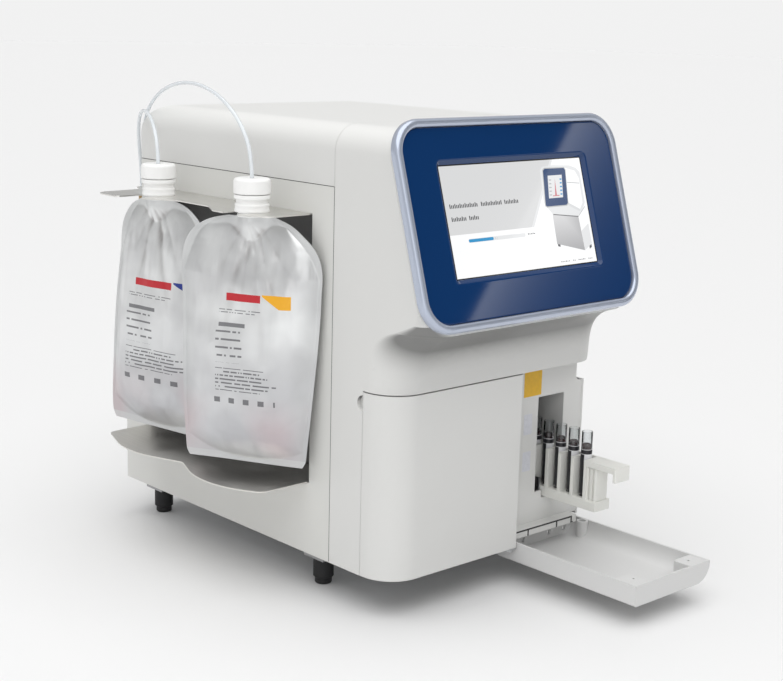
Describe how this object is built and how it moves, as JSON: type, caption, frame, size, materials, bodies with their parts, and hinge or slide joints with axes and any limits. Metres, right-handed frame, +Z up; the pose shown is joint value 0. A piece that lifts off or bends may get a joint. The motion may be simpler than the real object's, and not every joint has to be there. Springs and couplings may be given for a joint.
{
  "type": "glycohemoglobin analyzer",
  "caption": "benchtop blood analyzer with a tilted touch screen, hinged front door, fold-down sample flap with a tube rack, and reagent pouches hanging from a side bay",
  "frame": {"origin": "on the bench at the middle of the overall box, lines left out", "axes": "X to the right seen from the front, Y from the front to the rear, Z up"},
  "size_m": [0.436, 0.6934, 0.5699],
  "materials": {
    "pearl": "pearl white paint on moulding",
    "housing": "fine-textured off-white paint",
    "frame_moulding": "off-white moulding, fine grain",
    "blue": "deep blue, soft gloss",
    "screen": "touch glass",
    "dark": "black",
    "liner": "dark grey lining",
    "steel": "brushed",
    "plated": "zinc plated",
    "foot": "black rubber",
    "film": "white laminated film",
    "cap": "white moulding",
    "tubing": "clear tubing",
    "tube_glass": "clear tube with a banded sleeve",
    "rack": "off-white moulding",
    "peek": "tan engineering plastic",
    "board": "green laminate",
    "aluminium": "milled",
    "syringe_glass": "clear barrel"
  },
  "bodies": {
    "housing": {"bag_shelf": "steel", "base_tray": "plated", "bezel_face": "blue", "bezel_ring": "pearl", "column_oven": "aluminium", "data_ports": "liner", "detector": "dark", "display_module": "dark", "door_hinge_bracket": "plated", "door_hinge_pins": "plated", "eluent_line_a": "tubing", "eluent_line_b": "tubing", "eluent_pouch_a": "film", "eluent_pouch_b": "film", "fan_frame": "dark", "fluidics_panel": "plated", "foot_brackets": "plated", "foot_front_left": "foot", "foot_front_right": "foot", "foot_rear_left": "foot", "foot_rear_right": "foot", "front_frame": "frame_moulding", "hanger_plate": "steel", "injection_valve": "peek", "left_side_panel": "housing", "line_fittings": "peek", "main_board": "board", "needle_guide": "plated", "panel_screws": "plated", "pouch_spout_a": "cap", "pouch_spout_b": "cap", "power_inlet": "dark", "power_supply": "plated", "pump_module": "aluminium", "rack_guide": "plated", "reagent_bay_liner": "liner", "rear_panel": "housing", "right_side_panel": "housing", "sample_bay_panel": "frame_moulding", "sample_door_pin": "plated", "separation_column": "steel", "syringe_barrel": "syringe_glass", "syringe_clamp": "aluminium", "top_cover": "frame_moulding", "touch_glass": "screen"},
    "door": {"front_door": "frame_moulding"},
    "flap": {"sample_door": "pearl"},
    "rack": {"tube_rack": "rack", "sample_tube_1": "tube_glass", "sample_tube_2": "tube_glass", "sample_tube_3": "tube_glass", "sample_tube_4": "tube_glass", "sample_tube_5": "tube_glass"},
    "fan": {"fan_rotor": "dark"},
    "rocker": {"power_rocker": "dark"},
    "rotor": {"valve_rotor": "dark"},
    "plunger": {"syringe_plunger": "peek"},
    "carriage": {"needle_carriage": "aluminium"},
    "cap_rear": {"pouch_cap_a": "cap"},
    "cap_front": {"pouch_cap_b": "cap"}
  },
  "joints": [
    {"name": "front_door_hinge", "type": "hinge", "parent": "housing", "child": "door", "pos_m": [0.072, -0.1657, 0.145], "axis": [0, 0, 1], "range_deg": [0, 90]},
    {"name": "sample_door_hinge", "type": "hinge", "parent": "housing", "child": "flap", "pos_m": [0.146, -0.14505, 0.05165], "axis": [-1, 0, 0], "range_deg": [0, 90]},
    {"name": "rack_slide", "type": "slide", "parent": "housing", "child": "rack", "axis": [0, 1, 0], "range_m": [0, 0.125]},
    {"name": "fan_spin", "type": "hinge", "parent": "housing", "child": "fan", "pos_m": [0.116, 0.3293, 0.165], "axis": [0, 1, 0], "continuous": true},
    {"name": "power_rocker_hinge", "type": "hinge", "parent": "housing", "child": "rocker", "pos_m": [-0.054, 0.3428, 0.123], "axis": [1, 0, 0], "range_deg": [0, 12]},
    {"name": "valve_turn", "type": "hinge", "parent": "housing", "child": "rotor", "pos_m": [0.041, -0.1407, 0.115], "axis": [0, 1, 0], "range_deg": [0, 60]},
    {"name": "syringe_stroke", "type": "slide", "parent": "housing", "child": "plunger", "axis": [0, 0, 1], "range_m": [-0.015, 0.007]},
    {"name": "needle_lift", "type": "slide", "parent": "housing", "child": "carriage", "axis": [0, 0, -1], "range_m": [0, 0.05]},
    {"name": "cap_rear_turn", "type": "hinge", "parent": "housing", "child": "cap_rear", "pos_m": [-0.169, 0.1978, 0.461], "axis": [0, 0, 1], "continuous": true},
    {"name": "cap_front_turn", "type": "hinge", "parent": "housing", "child": "cap_front", "pos_m": [-0.169, 0.0147, 0.461], "axis": [0, 0, 1], "continuous": true}
  ],
  "couplings": [
    {"joint": "rack_slide", "follows": "sample_door_hinge", "m_per_rad": 0.0795}
  ]
}
